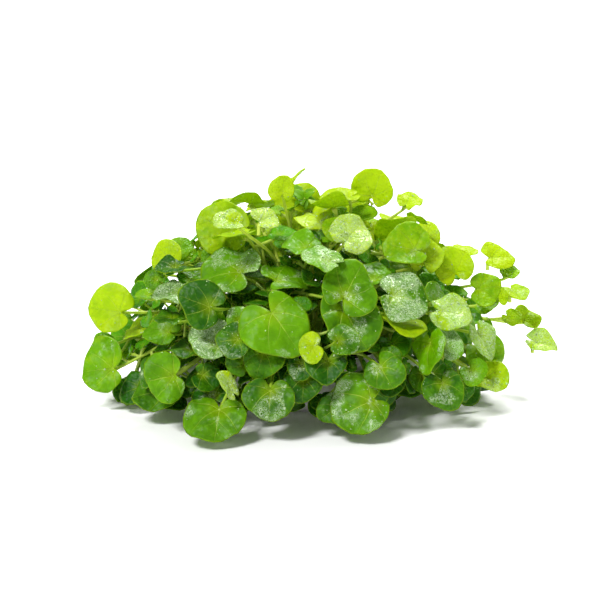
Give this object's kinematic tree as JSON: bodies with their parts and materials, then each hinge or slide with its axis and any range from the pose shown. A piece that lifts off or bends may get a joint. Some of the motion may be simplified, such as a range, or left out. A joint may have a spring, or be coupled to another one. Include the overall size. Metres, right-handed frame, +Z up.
{
  "type": "potted broccoli microgreens",
  "caption": "Low round pot of soil with a dense mound of young broccoli greens, whose notched, rounded seed leaves on thin stems overhang the rim all round.",
  "frame": {"origin": "centre of the pot's flat underside", "axes": "+Z up, +X along the mound's longest side, -Y towards the front"},
  "size_m": [0.134, 0.1051, 0.0646],
  "materials": {
    "greens": "moist leaf, semi-gloss, partly translucent",
    "glaze": "smooth white glaze",
    "soil": "moist, crumbly, matte"
  },
  "bodies": {
    "root": {"pot": "glaze", "soil": "soil", "sprouts_01": "greens", "sprouts_02": "greens", "sprouts_03": "greens", "sprouts_04": "greens", "sprouts_05": "greens", "sprouts_06": "greens", "sprouts_07": "greens", "sprouts_08": "greens", "sprouts_09": "greens", "sprouts_10": "greens", "sprouts_11": "greens", "sprouts_12": "greens", "sprouts_13": "greens", "sprouts_14": "greens", "sprouts_15": "greens", "sprouts_16": "greens", "sprouts_17": "greens", "sprouts_18": "greens", "sprouts_19": "greens", "sprouts_20": "greens", "sprouts_21": "greens", "sprouts_22": "greens", "sprouts_23": "greens", "sprouts_24": "greens", "sprouts_25": "greens", "sprouts_26": "greens", "sprouts_27": "greens", "sprouts_28": "greens", "sprouts_29": "greens", "sprouts_30": "greens", "sprouts_31": "greens", "sprouts_32": "greens", "sprouts_33": "greens", "sprouts_34": "greens", "sprouts_35": "greens", "sprouts_36": "greens"}
  },
  "joints": []
}
